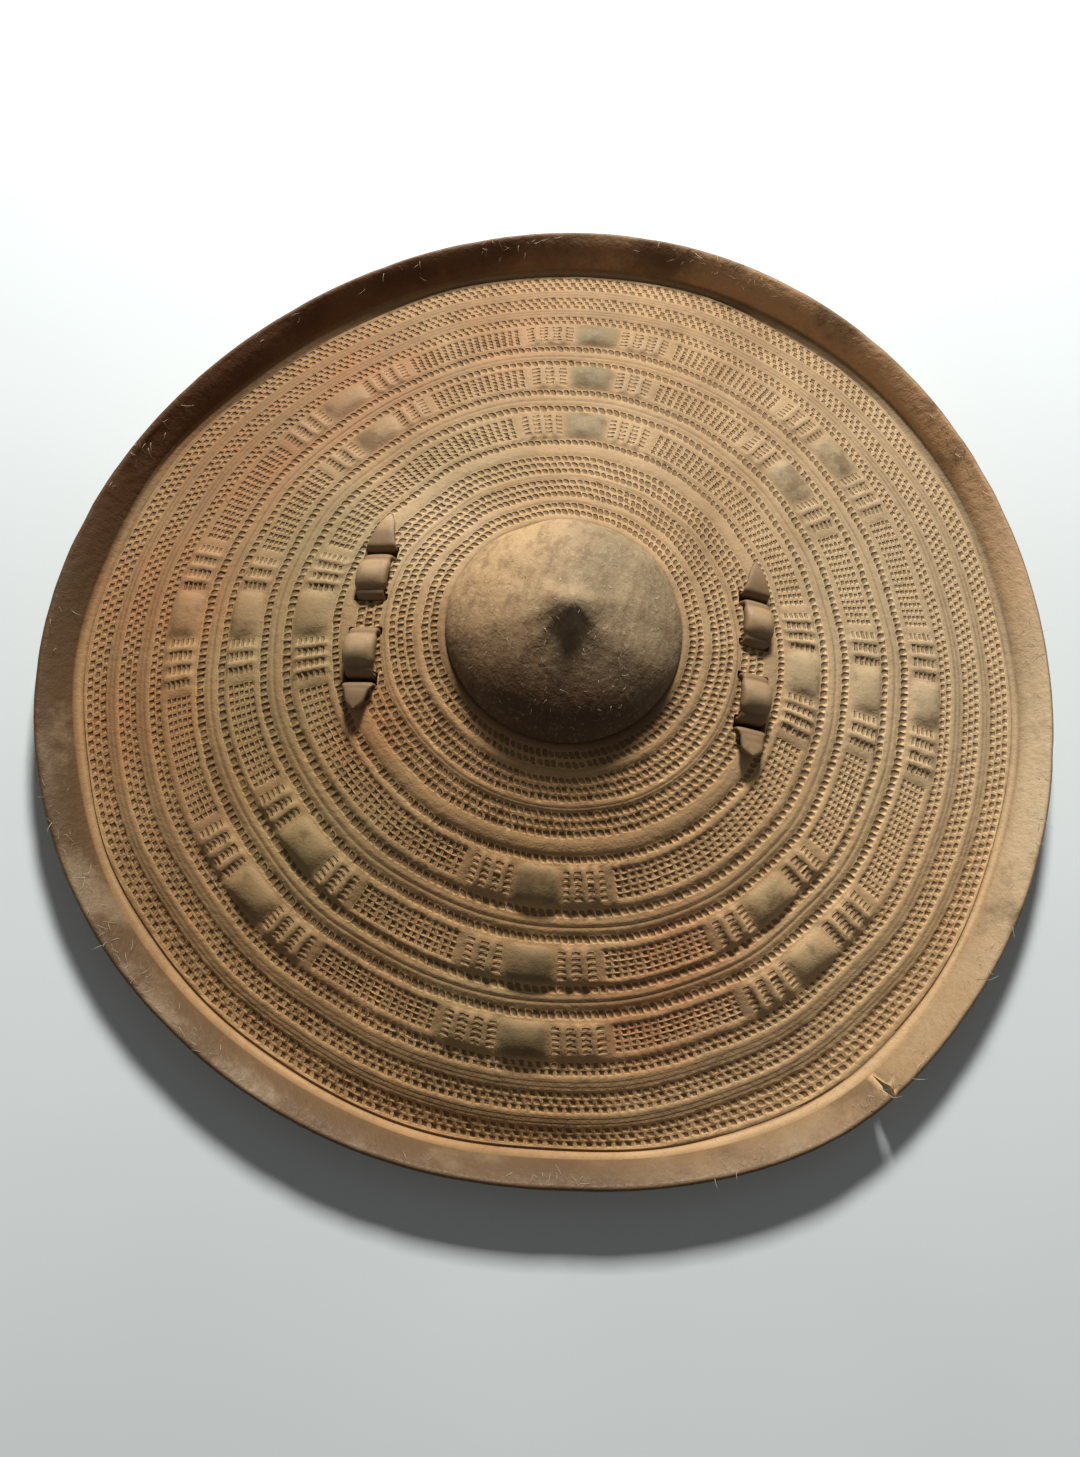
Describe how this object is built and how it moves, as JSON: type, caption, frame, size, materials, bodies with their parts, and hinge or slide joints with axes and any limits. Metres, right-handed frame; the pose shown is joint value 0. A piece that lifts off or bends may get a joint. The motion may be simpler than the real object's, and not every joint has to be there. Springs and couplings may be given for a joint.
{
  "type": "tooled hide shield",
  "caption": "Round shield of thick tooled hide with a domed boss, punched rings, raised panels, a turned-up cracked rim and laced straps behind.",
  "frame": {"origin": "middle of the shield's box in plan, at the level of the ring it rests on", "axes": "+Z out of the front of the boss, +X towards the right-hand strap as the picture shows it, +Y to the far side of the picture"},
  "size_m": [0.54, 0.5408, 0.1041],
  "materials": {
    "tooled_hide": "dry tooled hide, tan with rust-red and grey-green stains and dark dirt in the punch marks",
    "strap_hide": "smooth worn hide strap, grey-brown"
  },
  "bodies": {
    "root": {"hide": "tooled_hide", "strap_left": "strap_hide", "strap_right": "strap_hide"}
  },
  "joints": []
}
